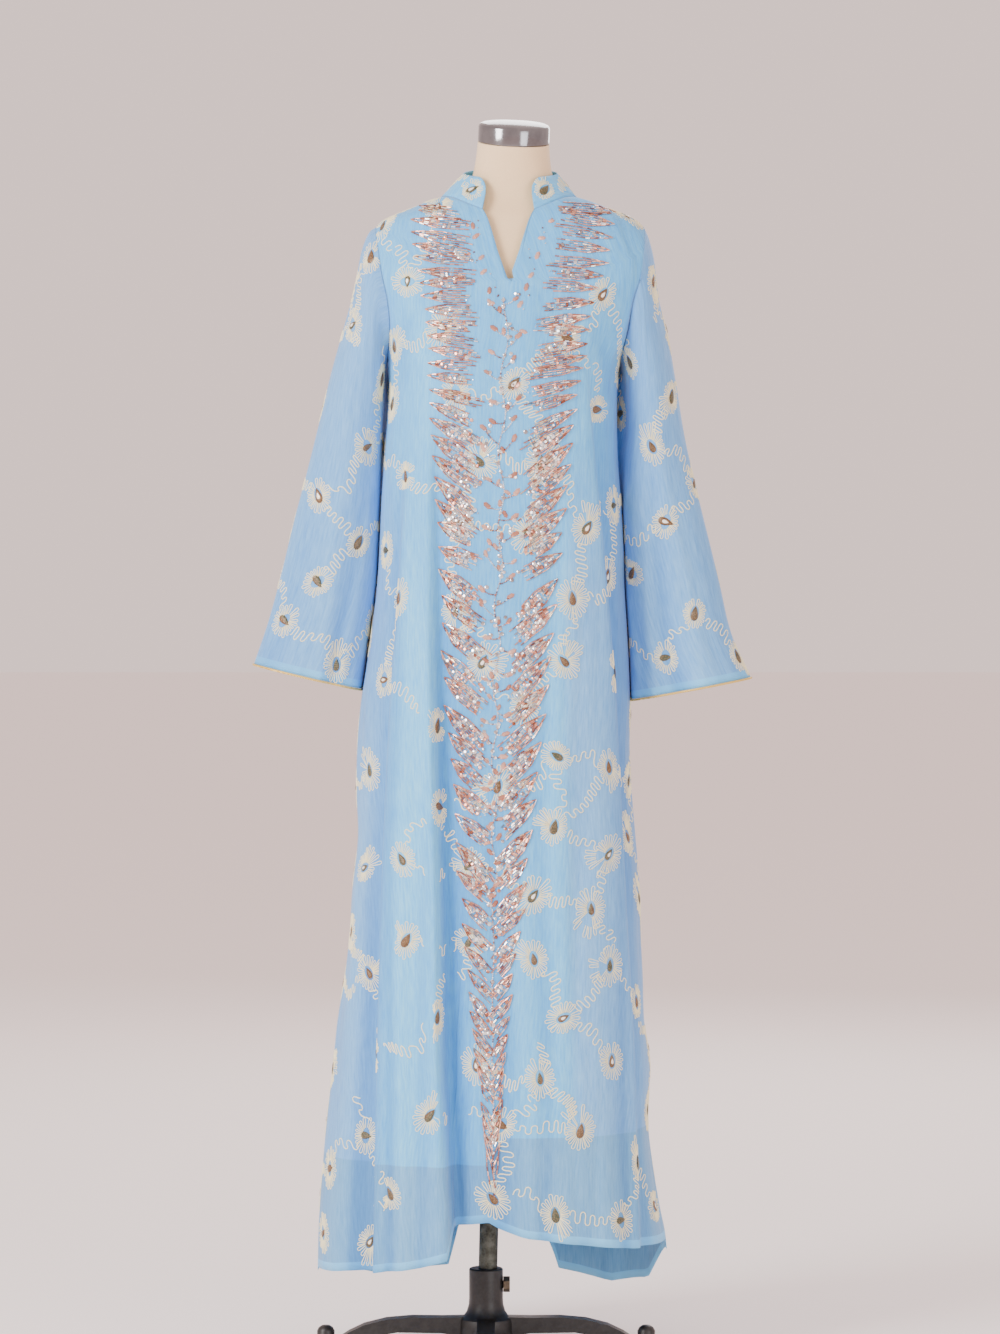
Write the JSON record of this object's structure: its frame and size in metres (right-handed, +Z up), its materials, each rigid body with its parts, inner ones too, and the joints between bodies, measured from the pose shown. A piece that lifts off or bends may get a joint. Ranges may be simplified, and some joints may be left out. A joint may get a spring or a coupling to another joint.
{
  "type": "embellished chiffon kaftan on a dress form with stand",
  "caption": "long pale blue chiffon kaftan with bell sleeves, band collar and open V neck, hung on a limbless dress form with a chrome neck cap, steel pole and cast base",
  "frame": {"origin": "on the floor, under the middle of the whole object's box", "axes": "+Z up along the stand; the garment's front faces -Y; +X is to the right of someone looking at the front"},
  "size_m": [0.6726, 0.466, 1.6686],
  "materials": {
    "chiffon": "pale blue chiffon, semi-sheer, matt",
    "lining_cloth": "plain pale blue lining, matt",
    "gold_cord": "metallic gold piping cord",
    "linen": "beige jersey over the padded form",
    "chrome": "polished",
    "steel": "dull grey, slightly mottled",
    "cast_iron": "black satin enamel",
    "rubber": "matt black"
  },
  "bodies": {
    "stand": {"stand_base": "cast_iron", "pad_right": "rubber", "pad_back": "rubber", "pad_left": "rubber", "pad_front": "rubber"},
    "clamp_screw": {"clamp_screw": "steel"},
    "pole": {"pole": "steel"},
    "dressed_form": {"form_torso": "linen", "neck_cap": "chrome", "front_panel": "chiffon", "back_panel": "chiffon", "lining_front": "lining_cloth", "lining_back": "lining_cloth", "collar": "chiffon", "sleeve_left": "chiffon", "sleeve_right": "chiffon", "cuff_piping_left": "gold_cord", "cuff_piping_right": "gold_cord"}
  },
  "joints": [
    {"name": "clamp_turn", "type": "hinge", "parent": "stand", "child": "clamp_screw", "pos_m": [-0.02206, 0, 0.093], "axis": [1, 0, 0], "continuous": true},
    {"name": "pole_slide", "type": "slide", "parent": "stand", "child": "pole", "axis": [0.0227, 0, 0.9997], "range_m": [0, 0.06]},
    {"name": "form_turn", "type": "hinge", "parent": "pole", "child": "dressed_form", "pos_m": [-0.00236, 0, 0.868], "axis": [0.0227, 0, 0.9997], "continuous": true}
  ]
}
